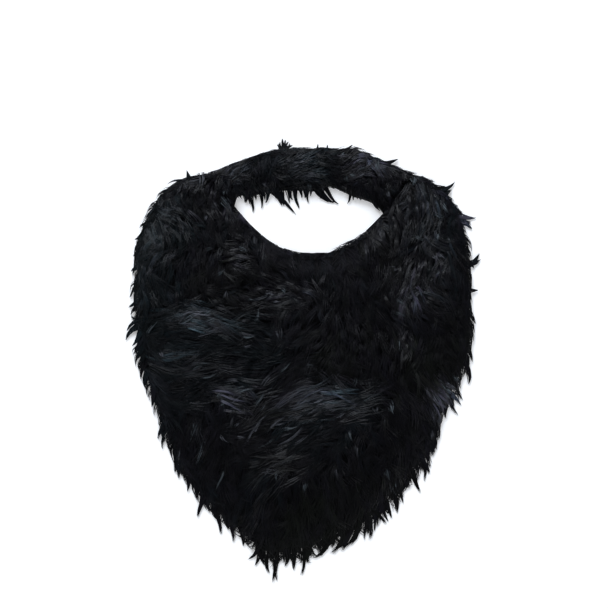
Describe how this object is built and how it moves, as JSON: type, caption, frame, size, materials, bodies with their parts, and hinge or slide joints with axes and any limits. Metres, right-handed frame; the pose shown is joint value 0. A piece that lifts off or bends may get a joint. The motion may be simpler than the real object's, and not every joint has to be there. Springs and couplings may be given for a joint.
{
  "type": "costume beard with mustache",
  "caption": "Shield-shaped costume beard of long black fur fabric with a mustache strip sewn across the top, leaving a mouth opening.",
  "frame": {"origin": "middle of the footprint, on the surface that the cloth back lies on", "axes": "+X to the right seen from the fur side, +Y from the chin to the mustache, +Z out of the fur"},
  "size_m": [0.2478, 0.3092, 0.0205],
  "materials": {
    "fur": "long glossy black synthetic pile in combed locks",
    "backing": "matt black knitted ground cloth"
  },
  "bodies": {
    "root": {"beard_backing": "backing", "beard_fur": "fur", "mustache_backing": "backing", "mustache_fur": "fur"}
  },
  "joints": []
}
